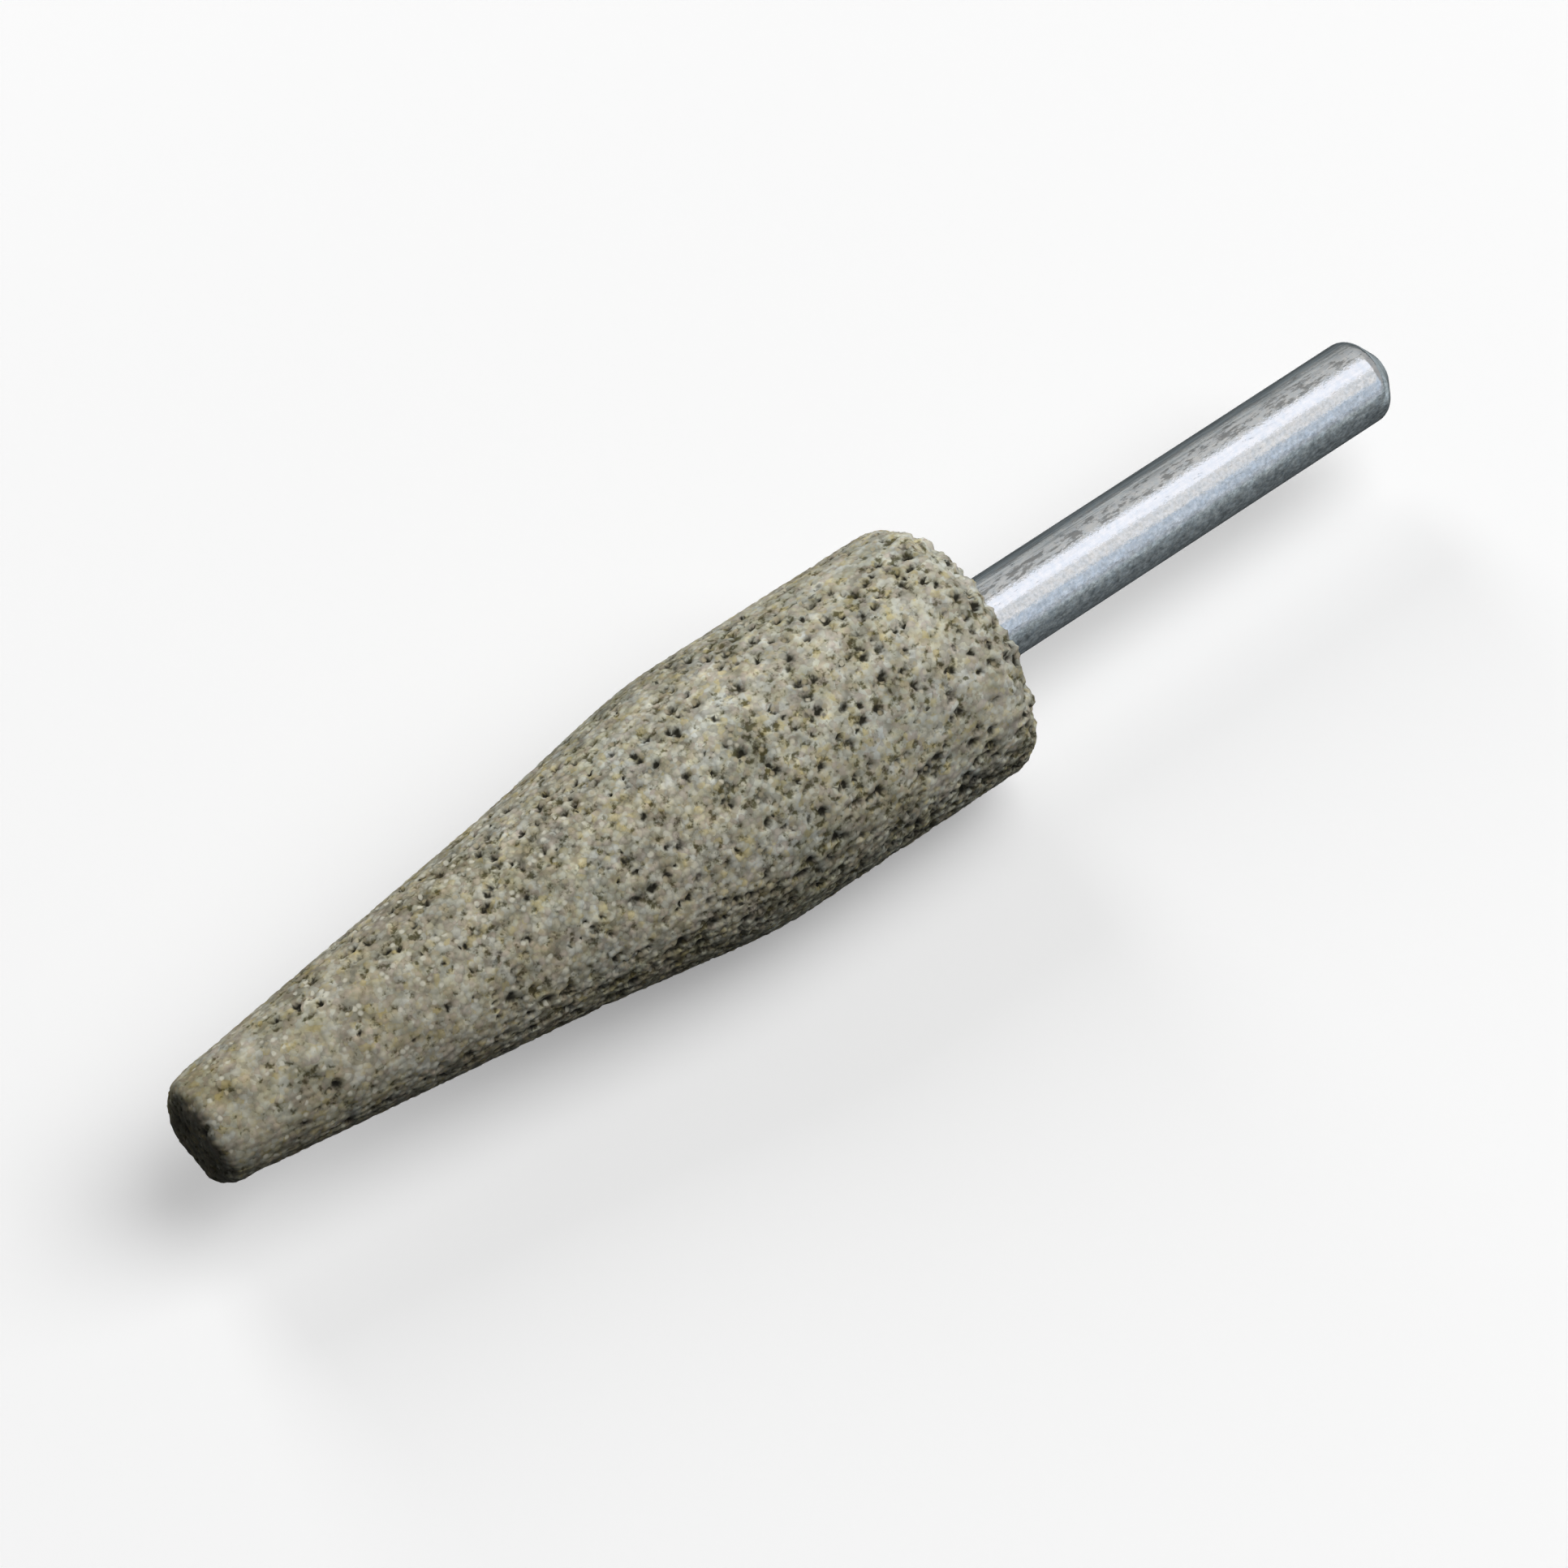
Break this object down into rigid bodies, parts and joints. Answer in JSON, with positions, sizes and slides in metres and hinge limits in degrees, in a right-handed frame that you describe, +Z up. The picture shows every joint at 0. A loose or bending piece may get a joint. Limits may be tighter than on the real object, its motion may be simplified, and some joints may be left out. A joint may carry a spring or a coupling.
{
  "type": "mounted point",
  "caption": "Mounted point: a tapered abrasive stone with a round shoulder, cemented on a plain steel shank that a collet holds for grinding and deburring.",
  "frame": {"origin": "on the surface that the stone lies on, under the middle of the overall length", "axes": "+X along the spin axis from the stone's nose to the shank's end, +Z up"},
  "size_m": [0.104, 0.02, 0.02],
  "materials": {
    "stone": "open-grained vitrified abrasive, matt, with dark pores",
    "steel": "bright drawn steel with faint stains",
    "cement": "matt set cement"
  },
  "bodies": {
    "root": {"abrasive_stone": "stone", "mandrel": "steel", "bonding_cement": "cement"}
  },
  "joints": []
}
